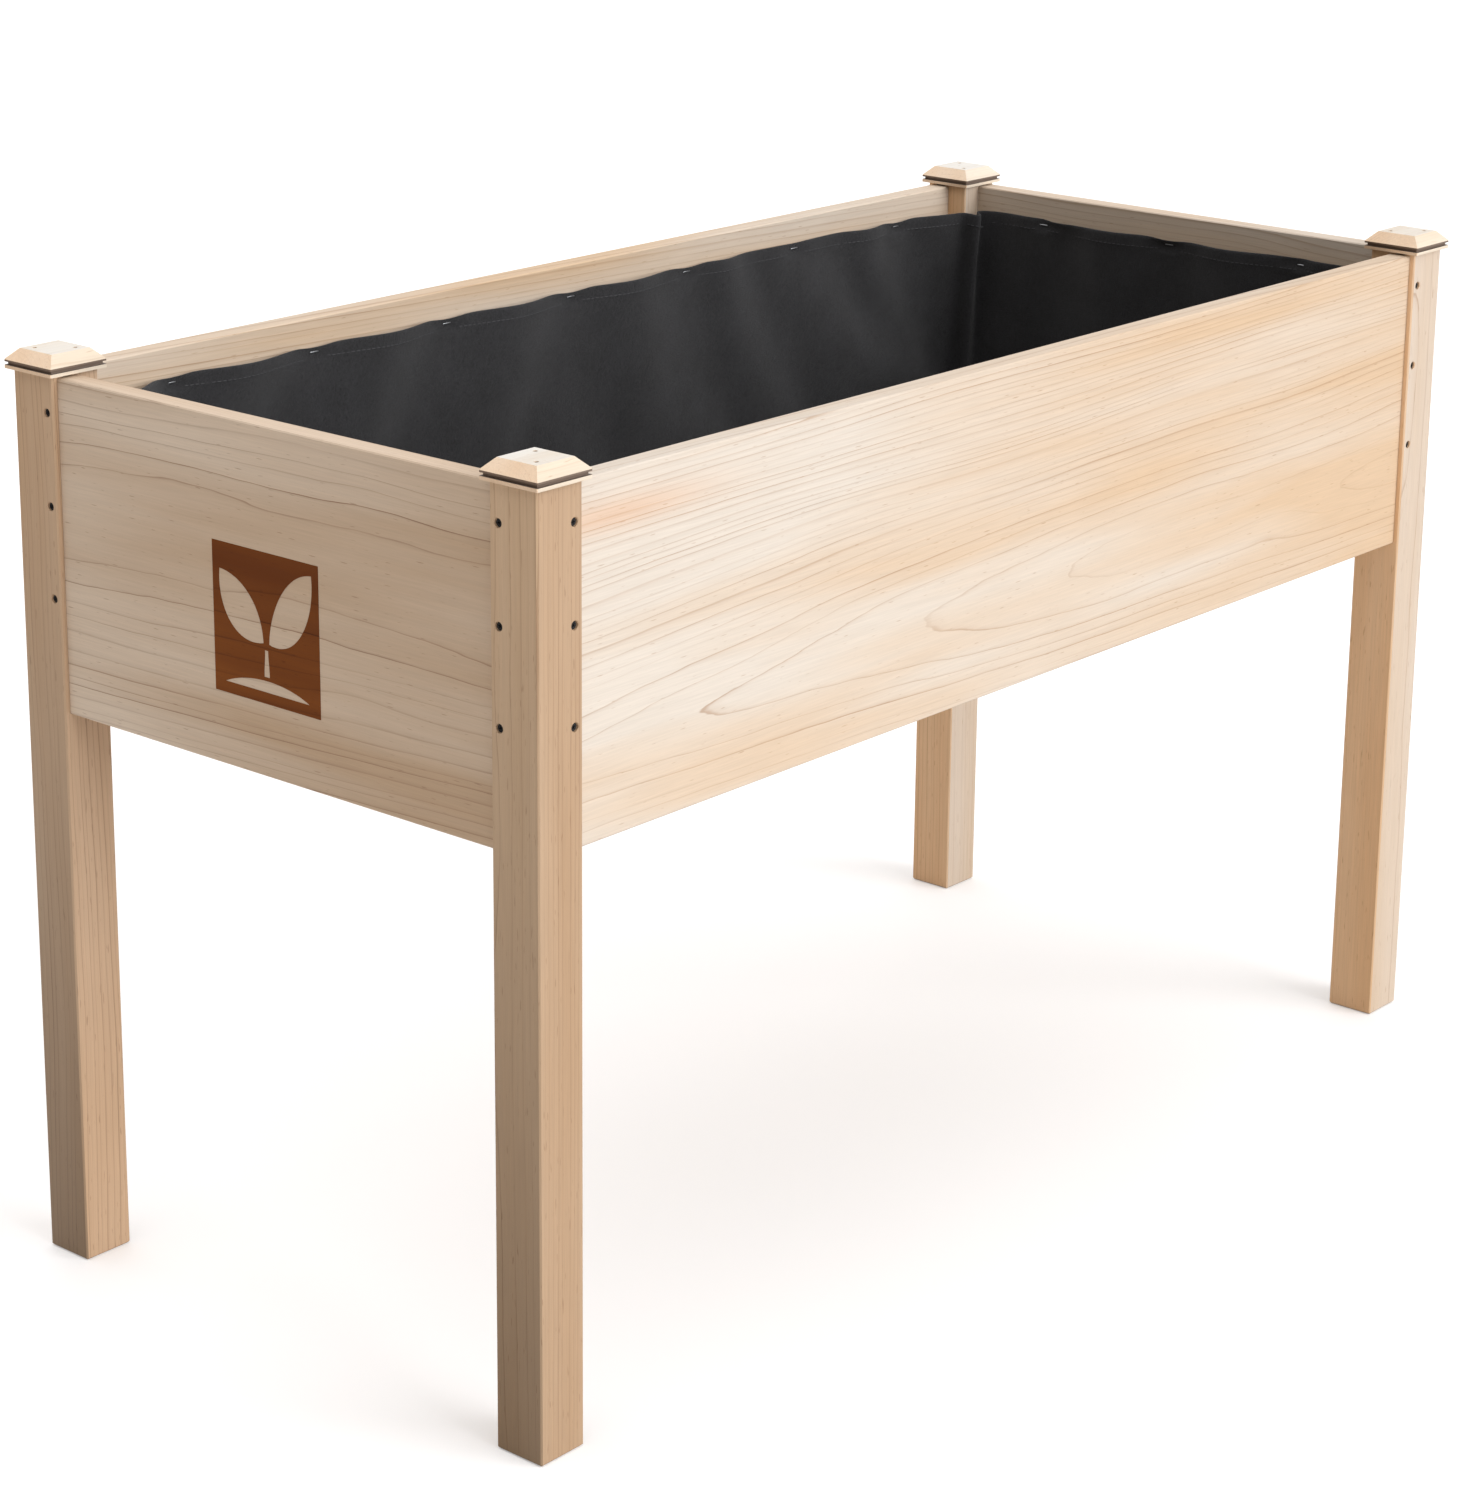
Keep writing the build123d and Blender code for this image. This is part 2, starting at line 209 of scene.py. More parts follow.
def makeGrainGroup():
    tree = bpy.data.node_groups.new("fir grain", "ShaderNodeTree")
    for name, kind, value in (
        ("Board", "NodeSocketVector", None),  # along, across, outwards, from the board's middle
        ("Pith Across", "NodeSocketFloat", 0.0),
        ("Pith Depth", "NodeSocketFloat", -0.1),
        ("Lean", "NodeSocketFloat", 0.01),
        ("Taper", "NodeSocketFloat", 0.0),
        ("Ring Width", "NodeSocketFloat", 0.005),
        ("Waviness", "NodeSocketFloat", 0.004),
        ("Wave Length", "NodeSocketFloat", 0.7),
        ("Shift", "NodeSocketFloat", 0.0),
        ("Eye One", "NodeSocketVector", None),  # along, across, how far it lifts the rings
        ("Eye Two", "NodeSocketVector", None),
        ("Streak", "NodeSocketVector", None),  # along, across, how strong
    ):
        socket = tree.interface.new_socket(name, in_out="INPUT", socket_type=kind)
        if value is not None:
            socket.default_value = value
    for name in ("Late", "Band", "Fibre", "Fleck", "Streak"):
        tree.interface.new_socket(name, in_out="OUTPUT", socket_type="NodeSocketFloat")
    given = addNode(tree, "NodeGroupInput").outputs
    away = addNode(
        tree,
        "ShaderNodeVectorMath",
        {0: (13.7, 5.1, 2.3), "Scale": given["Shift"]},
        operation="SCALE",
    )
    here = addNode(tree, "ShaderNodeVectorMath", {0: given["Board"], 1: away}, operation="ADD")

    # Slow waves of the trunk, then a smaller shiver of each ring
    waveRate = addNode(tree, "ShaderNodeMath", {0: 1.0, 1: given["Wave Length"]}, operation="DIVIDE")
    waveScale = addNode(tree, "ShaderNodeCombineXYZ", {0: waveRate, 1: 7.0, 2: 7.0})
    waveAt = addNode(tree, "ShaderNodeVectorMath", {0: here, 1: waveScale}, operation="MULTIPLY")
    wave = addNode(tree, "ShaderNodeTexNoise", {"Vector": waveAt, "Scale": 1.0, "Detail": 1.5})
    waveOff = addNode(
        tree,
        "ShaderNodeMapRange",
        {"Value": wave, "From Min": 0.25, "From Max": 0.75, "To Min": -1.0, "To Max": 1.0},
        clamp=False,
    )
    warp = addNode(
        tree, "ShaderNodeMath", {0: waveOff, 1: given["Waviness"]}, operation="MULTIPLY"
    ).outputs[0]
    noise = {}
    for name, (stretch, detail) in grainNoise.items():
        stretched = addNode(tree, "ShaderNodeVectorMath", {0: here, 1: stretch}, operation="MULTIPLY")
        noise[name] = addNode(
            tree, "ShaderNodeTexNoise", {"Vector": stretched, "Scale": 1.0, "Detail": detail}
        ).outputs[0]
    shiverOff = addNode(
        tree,
        "ShaderNodeMath",
        {0: noise["shiver"], 1: 2 * ringShape["shiver"], 2: -ringShape["shiver"]},
        operation="MULTIPLY_ADD",
    )

    # Distance from the pith, which leans a little along the board
    place = addNode(tree, "ShaderNodeSeparateXYZ", {0: given["Board"]}).outputs
    lean = addNode(tree, "ShaderNodeMath", {0: place[0], 1: given["Lean"]}, operation="MULTIPLY")
    taper = addNode(tree, "ShaderNodeMath", {0: place[0], 1: given["Taper"]}, operation="MULTIPLY")
    spans = []
    for start, pith, slope in ((place[1], "Pith Across", lean), (place[2], "Pith Depth", taper)):
        for operation, value in (("SUBTRACT", given[pith]), ("SUBTRACT", slope), ("ADD", warp)):
            start = addNode(tree, "ShaderNodeMath", {0: start, 1: value}, operation=operation)
        spans.append(start)
    spoke = addNode(tree, "ShaderNodeCombineXYZ", {0: 0.0, 1: spans[0], 2: spans[1]})
    radius = addNode(tree, "ShaderNodeVectorMath", {0: spoke}, operation="LENGTH").outputs["Value"]
    radius = addNode(tree, "ShaderNodeMath", {0: radius, 1: shiverOff}, operation="ADD")

    # Each eye is where a small branch began: the rings swell round it. The streak is resin.
    swells = {}
    for name, wide, tall in (("Eye One", 0.05, 0.013), ("Eye Two", 0.05, 0.013), ("Streak", 0.1, 0.012)):
        about = addNode(tree, "ShaderNodeSeparateXYZ", {0: given[name]}).outputs
        dx = addNode(
            tree,
            "ShaderNodeMath",
            {
                0: addNode(tree, "ShaderNodeMath", {0: place[0], 1: about[0]}, operation="SUBTRACT"),
                1: 1 / wide,
            },
            operation="MULTIPLY",
        )
        dy = addNode(
            tree,
            "ShaderNodeMath",
            {
                0: addNode(tree, "ShaderNodeMath", {0: place[1], 1: about[1]}, operation="SUBTRACT"),
                1: 1 / tall,
            },
            operation="MULTIPLY",
        )
        far = addNode(
            tree,
            "ShaderNodeMath",
            {
                0: addNode(tree, "ShaderNodeMath", {0: dx, 1: dx}, operation="MULTIPLY"),
                1: addNode(tree, "ShaderNodeMath", {0: dy, 1: dy}, operation="MULTIPLY"),
            },
            operation="ADD",
        )
        fall = addNode(
            tree,
            "ShaderNodeMath",
            {0: addNode(tree, "ShaderNodeMath", {0: far, 1: -1.0}, operation="MULTIPLY")},
            operation="EXPONENT",
        )
        swells[name] = addNode(
            tree, "ShaderNodeMath", {0: fall, 1: about[2]}, operation="MULTIPLY"
        ).outputs[0]
    for name in ("Eye One", "Eye Two"):
        radius = addNode(tree, "ShaderNodeMath", {0: radius, 1: swells[name]}, operation="ADD")

    # Rings of uneven width, each with its own strength
    count = addNode(tree, "ShaderNodeMath", {0: radius, 1: given["Ring Width"]}, operation="DIVIDE")
    years = addNode(
        tree,
        "ShaderNodeTexNoise",
        {"W": count, "Scale": ringShape["unevenRate"], "Detail": 1.0},
        noise_dimensions="1D",
    )
    count = addNode(
        tree, "ShaderNodeMath", {0: years, 1: ringShape["uneven"], 2: count}, operation="MULTIPLY_ADD"
    )
    ring = addNode(tree, "ShaderNodeMath", {0: count}, operation="FLOOR")
    part = addNode(tree, "ShaderNodeMath", {0: count}, operation="FRACT")
    chance = addNode(tree, "ShaderNodeTexWhiteNoise", {"W": ring}, noise_dimensions="1D").outputs["Value"]
    strength = addNode(
        tree, "ShaderNodeMapRange", {"Value": chance, "To Min": ringShape["faintest"], "To Max": 1.0}
    )
    # A face cut along a ring would show it as a wide brown patch, so there the line keeps its width
    slant = addNode(
        tree,
        "ShaderNodeMath",
        {0: addNode(tree, "ShaderNodeMath", {0: spans[0], 1: radius}, operation="DIVIDE")},
        operation="ABSOLUTE",
    )
    slant = addNode(tree, "ShaderNodeMath", {0: slant, 1: ringShape["leastSlant"]}, operation="MAXIMUM")
    fromEdge = addNode(
        tree,
        "ShaderNodeMath",
        {0: addNode(tree, "ShaderNodeMath", {0: 1.0, 1: part}, operation="SUBTRACT"), 1: slant},
        operation="DIVIDE",
    )
    line = setRamp(
        addNode(
            tree,
            "ShaderNodeValToRGB",
            {
                "Fac": addNode(
                    tree, "ShaderNodeMath", {0: 1.0, 1: fromEdge}, operation="SUBTRACT", use_clamp=True
                ),
            },
        ),
        [(0.0, 0.04), (0.45, 0.05), (0.78, 0.25), (0.91, 0.95), (0.96, 1.0), (1.0, 0.12)],
    )
    late = addNode(tree, "ShaderNodeMath", {0: line, 1: strength}, operation="MULTIPLY")

    # A line fades and comes back along its length
    fade = addNode(
        tree,
        "ShaderNodeMapRange",
        {"Value": noise["fade"], "From Min": 0.3, "From Max": 0.7, "To Min": 0.45, "To Max": 1.25},
    )
    late = addNode(tree, "ShaderNodeMath", {0: late, 1: fade}, operation="MULTIPLY")

    band = addNode(tree, "ShaderNodeMapRange", {"Value": noise["band"], "From Min": 0.3, "From Max": 0.7})

    fleck = addNode(
        tree, "ShaderNodeMapRange", {"Value": noise["fleck"], "From Min": 0.76, "From Max": 0.84}
    )
    addNode(
        tree,
        "NodeGroupOutput",
        {"Late": late, "Band": band, "Fibre": noise["fibre"], "Fleck": fleck, "Streak": swells["Streak"]},
    )
    return tree


def planedFir(name, board, look, grainGroup):
    material, tree = newMaterial(name)
    grain, outwards = Vector(board["grain"]), Vector(board["outwards"])
    turn = Matrix((grain, outwards.cross(grain), outwards)).transposed().to_euler()
    spot = addNode(tree, "ShaderNodeTexCoord")
    local = addNode(
        tree,
        "ShaderNodeMapping",
        {"Vector": spot.outputs["Object"], "Location": board["centre"], "Rotation": turn},
        vector_type="TEXTURE",
    )
    eyes = [Vector(e) * mm for e in look.get("eyes", [])]
    eyes += [Vector((9, 9, 0))] * (2 - len(eyes))
    wood = addNode(
        tree,
        "ShaderNodeGroup",
        node_tree=grainGroup,
    )
    tree.links.new(local.outputs[0], wood.inputs["Board"])
    for key, value in (
        ("Pith Across", look["pith"][0] * mm),
        ("Pith Depth", look["pith"][1] * mm),
        ("Lean", look["lean"] * mm),
        ("Taper", look.get("taper", 0) * mm),
        ("Streak", [c * k for c, k in zip(look.get("streak", (9, 9, 0)), (mm, mm, 1))]),
        ("Ring Width", look["ring"] * mm),
        ("Waviness", look["wave"] * mm),
        ("Wave Length", look["waveLong"]),
        ("Shift", look["seed"]),
        ("Eye One", eyes[0]),
        ("Eye Two", eyes[1]),
    ):
        wood.inputs[key].default_value = value
    late, band, fibre, fleck, streak = wood.outputs
    along = addNode(tree, "ShaderNodeSeparateXYZ", {0: local})
    # Painted shade: the tone is moved from pale to warm along the board, for light that falls off along it
    band = addNode(
        tree,
        "ShaderNodeMath",
        {0: along, 1: look.get("paintedShadeDrift", 0.0), 2: band},
        operation="MULTIPLY_ADD",
        use_clamp=True,
    )
    colour = addNode(
        tree,
        "ShaderNodeMix",
        {0: band, 6: linear(look["pale"]), 7: linear(look["warm"])},
        data_type="RGBA",
    ).outputs[2]
    lateShare = addNode(
        tree, "ShaderNodeMath", {0: late, 1: look["contrast"]}, operation="MULTIPLY", use_clamp=True
    ).outputs[0]
    fleckShare = addNode(
        tree, "ShaderNodeMath", {0: fleck, 1: ringShape["fleck"]}, operation="MULTIPLY"
    ).outputs[0]
    # Resin turns a streak orange
    for share, stain in ((lateShare, look["late"]), (fleckShare, look["late"]), (streak, look["resin"])):
        colour = addNode(
            tree, "ShaderNodeMix", {0: share, 6: colour, 7: linear(stain)}, data_type="RGBA"
        ).outputs[2]

    # End grain drinks in the light, so it is darker than the faces
    facing = addNode(
        tree, "ShaderNodeVectorMath", {0: spot.outputs["Normal"], 1: grain}, operation="DOT_PRODUCT"
    )
    facing = addNode(tree, "ShaderNodeMath", {0: facing.outputs["Value"]}, operation="ABSOLUTE")
    endShade = addNode(
        tree,
        "ShaderNodeMapRange",
        {"Value": facing, "From Min": 0.75, "From Max": 0.95, "To Min": 1.0, "To Max": 0.80},
    )
    fibreShade = addNode(
        tree,
        "ShaderNodeMapRange",
        {"Value": fibre, "From Min": 0.25, "From Max": 0.75, "To Min": 0.93, "To Max": 1.05},
    )
    shade = addNode(tree, "ShaderNodeMath", {0: endShade, 1: fibreShade}, operation="MULTIPLY")
    # A post's faces across X get painted light and shade: each look tints that pair for how light falls on
    # it, and paints it darker towards the foot
    sideways = addNode(tree, "ShaderNodeSeparateXYZ", {0: spot.outputs["Normal"]})
    side = addNode(
        tree,
        "ShaderNodeVectorMath",
        {
            0: look.get("side", (1, 1, 1)),
            "Scale": addNode(
                tree,
                "ShaderNodeMath",
                {0: along, 1: look.get("fade", 0.0), 2: 1.0},
                operation="MULTIPLY_ADD",
            ),
        },
        operation="SCALE",
    )
    tinted = addNode(
        tree,
        "ShaderNodeMix",
        {0: addNode(tree, "ShaderNodeMath", {0: sideways}, operation="ABSOLUTE"), 6: colour, 7: side},
        data_type="RGBA",
        blend_type="MULTIPLY",
    ).outputs[2]
    if "crown" in look:
        # Painted light: the flat top of a cap is painted paler and cooler, for the light that falls on it
        # from above
        upwards = addNode(tree, "ShaderNodeSeparateXYZ", {0: spot.outputs["Normal"]}).outputs[2]
        flatTop = addNode(tree, "ShaderNodeMath", {0: upwards, 1: 0.95}, operation="GREATER_THAN")
        tinted = addNode(
            tree,
            "ShaderNodeMix",
            {0: flatTop, 6: tinted, 7: (*look["crown"], 1)},
            data_type="RGBA",
            blend_type="MULTIPLY",
        ).outputs[2]
    if "groove" in look:
        # Painted shade: the groove round a cap and the strip above it are painted dark brown, for the shade
        # in the recess
        low, high, reach = [value * mm for value in look["groove"]]
        spots = addNode(tree, "ShaderNodeSeparateXYZ", {0: local}).outputs
        out = addNode(
            tree,
            "ShaderNodeMath",
            {
                0: addNode(tree, "ShaderNodeMath", {0: spots[0]}, operation="ABSOLUTE"),
                1: addNode(tree, "ShaderNodeMath", {0: spots[1]}, operation="ABSOLUTE"),
            },
            operation="MAXIMUM",
        )
        inside = addNode(tree, "ShaderNodeMath", {0: out, 1: reach}, operation="LESS_THAN")
        above = addNode(tree, "ShaderNodeMath", {0: spots[2], 1: low}, operation="GREATER_THAN")
        below = addNode(tree, "ShaderNodeMath", {0: spots[2], 1: high}, operation="LESS_THAN")
        paintedShade = addNode(
            tree,
            "ShaderNodeMath",
            {0: inside, 1: addNode(tree, "ShaderNodeMath", {0: above, 1: below}, operation="MULTIPLY")},
            operation="MULTIPLY",
        )
        tinted = addNode(
            tree,
            "ShaderNodeMix",
            {
                0: addNode(tree, "ShaderNodeMath", {0: paintedShade, 1: 0.85}, operation="MULTIPLY"),
                6: tinted,
                7: linear(look["paintedShade"]),
            },
            data_type="RGBA",
        ).outputs[2]
    colour = addNode(tree, "ShaderNodeHueSaturation", {"Value": shade, "Color": tinted})

    # Planing leaves the hard latewood a hair proud of the soft wood between
    height = addNode(tree, "ShaderNodeMath", {0: fibre, 1: 0.5, 2: late}, operation="MULTIPLY_ADD")
    bump = addNode(
        tree, "ShaderNodeBump", {"Strength": 0.35, "Distance": ringShape["proud"], "Height": height}
    )
    rough = addNode(
        tree,
        "ShaderNodeMapRange",
        {
            "Value": fibre,
            "From Min": 0.2,
            "From Max": 0.8,
            "To Min": look["rough"],
            "To Max": look["rough"] + 0.12,
        },
    )
    shader = addNode(
        tree,
        "ShaderNodeBsdfPrincipled",
        {
            "Base Color": colour,
            "Roughness": rough,
            "Normal": bump,
            "Specular IOR Level": look.get("shine", 0.4),
        },
    )
    addNode(tree, "ShaderNodeOutputMaterial", {"Surface": shader})
    return material


# Looks of the boards. Lengths in mm: ring is a year's growth, pith is (across, depth) from the board's
# middle, lean is mm per metre, wave how far the trunk wandered. Eyes are (along, across, swell).
# A cap's groove is (low, high, reach) from its middle, the part painted dark as shade.
panelLook = {
    "pale": "#cec5b9",
    "warm": "#c9af91",
    "late": "#946c45",
    "resin": "#cc9460",
    "contrast": 0.65,
    "rough": 0.55,
    "ring": 5.4,
    "wave": 5,
    "waveLong": 0.7,
    "lean": 14,
}
postLook = dict(panelLook, ring=4.0, wave=4, waveLong=0.4, lean=6, contrast=0.85)
# The tan posts' faces across X are painted darker towards the foot, as shade
tanPost = dict(postLook, pale="#b59b80", warm="#a98b6c", late="#775436", side=(0.98, 1.0, 1.0), fade=0.9)
# The pale posts' faces across X are painted warmer, for how light falls on them
palePost = dict(postLook, pale="#c9bcae", warm="#c2ad95", late="#947050", side=(1.42, 1.14, 0.84))
capLook = dict(
    panelLook,
    pale="#d9d0c1",
    warm="#d0bda4",
    late="#a8835f",
    ring=3.0,
    wave=1.5,
    lean=4,
    contrast=0.5,
    # painted shade: the groove and the strip above it are dark brown
    groove=(-5.3, -1.1, 28.3),
    paintedShade="#4f382b",
    # painted light: the cap's faces across X are paler
    side=(1.38, 1.18, 1.02),
    # painted light on the flat top
    crown=(1.05, 1.15, 1.3),
)
floorLook = dict(panelLook, pale="#bfa98e", warm="#b3977a", late="#80603f", rough=0.7)

alongX, alongY, alongZ = (1, 0, 0), (0, 1, 0), (0, 0, 1)
boards = {
    "panel_front": (
        alongX,
        (0, -1, 0),
        dict(
            panelLook,
            pith=(-60, -105),
            taper=13,
            ring=4.0,
            lean=8,
            contrast=0.72,
            seed=3.2,
            # painted shade: warmer and darker towards the +X end
            paintedShadeDrift=0.8,
            eyes=[(350, -78, 2.2)],
            streak=(-520, 104, 0.4),
        ),
    ),
    "panel_rear": (
        alongX, (0, 1, 0), dict(panelLook, pith=(45, -90), taper=-25, seed=8.1, eyes=[(-210, 40, 5)])
    ),
    "panel_left": (
        (0, -1, 0),
        (-1, 0, 0),
        dict(
            panelLook,
            pale="#d4c3af",
            warm="#ba9f82",
            late="#7a5335",
            contrast=0.85,
            # painted shade: warmer and darker towards the front end
            paintedShadeDrift=1.3,
            pith=(30, -190),
            seed=5.7,
            wave=5,
            waveLong=0.5,
            ring=4.8,
            lean=30,
            eyes=[(88, -58, 3)],
        ),
    ),
    "panel_right": (alongY, (1, 0, 0), dict(panelLook, pith=(-30, -120), seed=1.4, wave=6, waveLong=0.4)),
    "post_front_left": (alongZ, (-1, 0, 0), dict(tanPost, pith=(40, -75), seed=2.3)),
    # The rear left post is painted paler, to lift the shade that the trough casts on its front face; its
    # faces across X are tinted back down, as painted shade
    "post_rear_left": (
        alongZ,
        (-1, 0, 0),
        dict(tanPost, pale="#c8ac90", warm="#bb9b7b", side=(0.78, 0.79, 0.79), pith=(-60, -50), seed=6.4),
    ),
    "post_front_right": (alongZ, (0, -1, 0), dict(palePost, pith=(20, -95), seed=4.9)),
    "post_rear_right": (alongZ, (0, -1, 0), dict(palePost, pith=(55, -60), seed=7.6)),
    "cap_front_left": (alongX, alongZ, dict(capLook, pith=(12, -60), seed=1.9)),
    "cap_front_right": (alongX, alongZ, dict(capLook, pith=(-30, -55), seed=2.8)),
    "cap_rear_left": (alongX, alongZ, dict(capLook, pith=(25, -70), seed=3.7)),
    "cap_rear_right": (alongX, alongZ, dict(capLook, pith=(-8, -65), seed=4.6)),
    "rail_front": (alongX, alongY, dict(floorLook, pith=(40, -70), seed=1.1)),
    "rail_rear": (alongX, alongY, dict(floorLook, pith=(-50, -60), seed=2.1)),
    "rail_left": (alongY, alongX, dict(floorLook, pith=(30, -80), seed=3.1)),
    "rail_right": (alongY, alongX, dict(floorLook, pith=(-40, -75), seed=4.1)),
}
dice = random.Random(7)
for number in range(1, 13):
    pith = (dice.uniform(-50, 50), -dice.uniform(50, 130))
    boards[f"slat_{number:02d}"] = (alongY, (0, 0, -1), dict(floorLook, pith=pith, seed=number * 1.37))


def boardAxes(node):
    grain, outwards, look = boards[node]
    low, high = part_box(node)
    return {"centre": (low + high) / 2, "grain": grain, "outwards": outwards}, look


def finishWood(grainGroup):
    for node in boards:
        board, look = boardAxes(node)
        wood = planedFir("planed fir, " + node.replace("_", " "), board, look, grainGroup)
        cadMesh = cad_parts[node]
        for slotPlace in cadMesh.material_slots:
            slotPlace.material = wood
    print("wood:", len(boards), "boards")


mark = {
    "wide": 115 * mm,
    "high": 118 * mm,
    "acrossOff": 3 * mm,  # towards the rear
    "belowMiddle": 19 * mm,
    "thick": 0.2 * mm,
}


def addOutline(curve, points):
    # Each point is its place (x, y), then how far off its handles in (x, y) and out (x, y) are, in mm
    spline = curve.splines.new("BEZIER")
    spline.bezier_points.add(len(points) - 1)
    for knot, (x, y, inX, inY, outX, outY) in zip(spline.bezier_points, points):
        knot.handle_left_type = knot.handle_right_type = "FREE"
        knot.co = (x * mm, y * mm, 0)
        knot.handle_left = ((x + inX) * mm, (y + inY) * mm, 0)
        knot.handle_right = ((x + outX) * mm, (y + outY) * mm, 0)
    spline.use_cyclic_u = True


def makeMark(grainGroup):
    # A sprout of two leaves over a mound, left unburnt in a burnt panel
    low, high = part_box("panel_left")
    curve = bpy.data.curves.new("mark", "CURVE")
    curve.dimensions = "2D"
    curve.fill_mode = "BOTH"
    curve.resolution_u = 24
    curve.extrude = mark["thick"] / 2
    halfWide, halfHigh = mark["wide"] / 2 / mm, mark["high"] / 2 / mm
    corners = [(-halfWide, -halfHigh), (halfWide, -halfHigh), (halfWide, halfHigh), (-halfWide, halfHigh)]
    addOutline(curve, [(x, y, 0, 0, 0, 0) for x, y in corners])
    for side, tipY in ((-1, 38), (1, 50)):
        addOutline(
            curve,
            [
                (side * 3, -12, side * 1, 26, side * 32, -8),
                (side * 50, tipY, side * 4, -30, -side * 28, -2),
            ],
        )
    stem = [(-1.8, -17, 0, -8, 0, 0), (1.8, -17, 0, 0, 0, -8), (3, -38, 0, 8, 0, 0), (-3, -38, 0, 0, 0, 8)]
    addOutline(curve, stem)
    addOutline(curve, [(-46, -50, 0, 0, 26, 12), (46, -50, -26, 12, 0, 0)])
    flat = bpy.data.objects.new("mark_outline", curve)
    bpy.context.scene.collection.objects.link(flat)
    bpy.context.view_layer.update()
    mesh = bpy.data.meshes.new_from_object(flat.evaluated_get(bpy.context.evaluated_depsgraph_get()))
    bpy.data.objects.remove(flat)
    middle = Vector(
        (
            low.x - mark["thick"] / 2 - 0.02 * mm,
            (low.y + high.y) / 2 + mark["acrossOff"],
            (low.z + high.z) / 2 - mark["belowMiddle"],
        )
    )
    facing = Matrix(((0, 0, -1), (-1, 0, 0), (0, 1, 0))).to_4x4()  # the outline's x runs to -Y, its y up
    mesh.transform(Matrix.Translation(middle) @ facing)
    mesh.name = "burnt_mark"
    piece = bpy.data.objects.new("burnt_mark", mesh)
    bpy.context.scene.collection.objects.link(piece)
    board, look = boardAxes("panel_left")
    # Burnt wood: the grain still shows, as darker bands in the brown
    burnt = dict(
        look, pale="#884e1f", warm="#5c2c0b", late="#381806", contrast=0.85, rough=0.75, shine=0.15
    )
    mesh.materials.clear()
    mesh.materials.append(planedFir("burnt fir, mark", board, burnt, grainGroup))
    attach(piece, "root")
    print("mark: made")



def fillGroup(tree, inputs):
    # The sockets that a user sets on the modifier, with their values in metres
    tree.is_modifier = True
    tree.interface.new_socket("Geometry", in_out="INPUT", socket_type="NodeSocketGeometry")
    for name, value in inputs.items():
        kind = "NodeSocketInt" if isinstance(value, int) else "NodeSocketFloat"
        tree.interface.new_socket(name, in_out="INPUT", socket_type=kind).default_value = value
    tree.interface.new_socket("Material", in_out="INPUT", socket_type="NodeSocketMaterial")
    tree.interface.new_socket("Geometry", in_out="OUTPUT", socket_type="NodeSocketGeometry")
    return addNode(tree, "NodeGroupInput").outputs


def turnedShape(tree, sides, profile):
    # A lathed solid: a tube of rows, each moved to its own radius and height
    tube = addNode(
        tree,
        "GeometryNodeMeshCylinder",
        {"Vertices": sides, "Side Segments": len(profile) - 1, "Radius": 1.0, "Depth": 1.0},
    )
    place = addNode(tree, "ShaderNodeSeparateXYZ", {0: addNode(tree, "GeometryNodeInputPosition")})
    share = addNode(tree, "ShaderNodeMath", {0: place.outputs[2], 1: 0.5}, operation="ADD")
    row = addNode(
        tree,
        "ShaderNodeMath",
        {0: addNode(tree, "ShaderNodeMath", {0: share, 1: float(len(profile) - 1)}, operation="MULTIPLY")},
        operation="ROUND",
    ).outputs[0]
    picks = []
    for column in (0, 1):
        pick = addNode(tree, "GeometryNodeIndexSwitch", data_type="FLOAT")
        while len(pick.index_switch_items) < len(profile):
            pick.index_switch_items.new()
        tree.links.new(row, pick.inputs["Index"])
        for item, point in enumerate(profile):
            socket = pick.inputs[str(item)]
            if isinstance(point[column], bpy.types.NodeSocket):
                tree.links.new(point[column], socket)
            else:
                socket.default_value = point[column]
        picks.append(pick.outputs[0])
    x = addNode(tree, "ShaderNodeMath", {0: place, 1: picks[0]}, operation="MULTIPLY")
    y = addNode(tree, "ShaderNodeMath", {0: place.outputs[1], 1: picks[0]}, operation="MULTIPLY")
    spot = addNode(tree, "ShaderNodeCombineXYZ", {0: x, 1: y, 2: picks[1]})
    return addNode(
        tree, "GeometryNodeSetPosition", {"Geometry": tube.outputs["Mesh"], "Position": spot}
    ).outputs[0]


def placeCopies(tree, given, shape):
    # One copy on each point, facing along "out" with its own X along "along"
    turn = None
    for name, axis, pivot in (("out", "Z", "AUTO"), ("along", "X", "Z")):
        aim = addNode(tree, "GeometryNodeInputNamedAttribute", {"Name": name}, data_type="FLOAT_VECTOR")
        inputs = {"Vector": aim.outputs["Attribute"]}
        if turn:
            inputs["Rotation"] = turn
        turn = addNode(
            tree, "FunctionNodeAlignRotationToVector", inputs, axis=axis, pivot_axis=pivot
        ).outputs[0]
    copies = addNode(
        tree,
        "GeometryNodeInstanceOnPoints",
        {"Points": given["Geometry"], "Instance": shape, "Rotation": turn},
    )
    finishCopies(tree, given, copies.outputs[0])


def finishCopies(tree, given, copies):
    real = addNode(tree, "GeometryNodeRealizeInstances", {"Geometry": copies})
    painted = addNode(tree, "GeometryNodeSetMaterial", {"Geometry": real, "Material": given["Material"]})
    addNode(tree, "NodeGroupOutput", {0: painted})


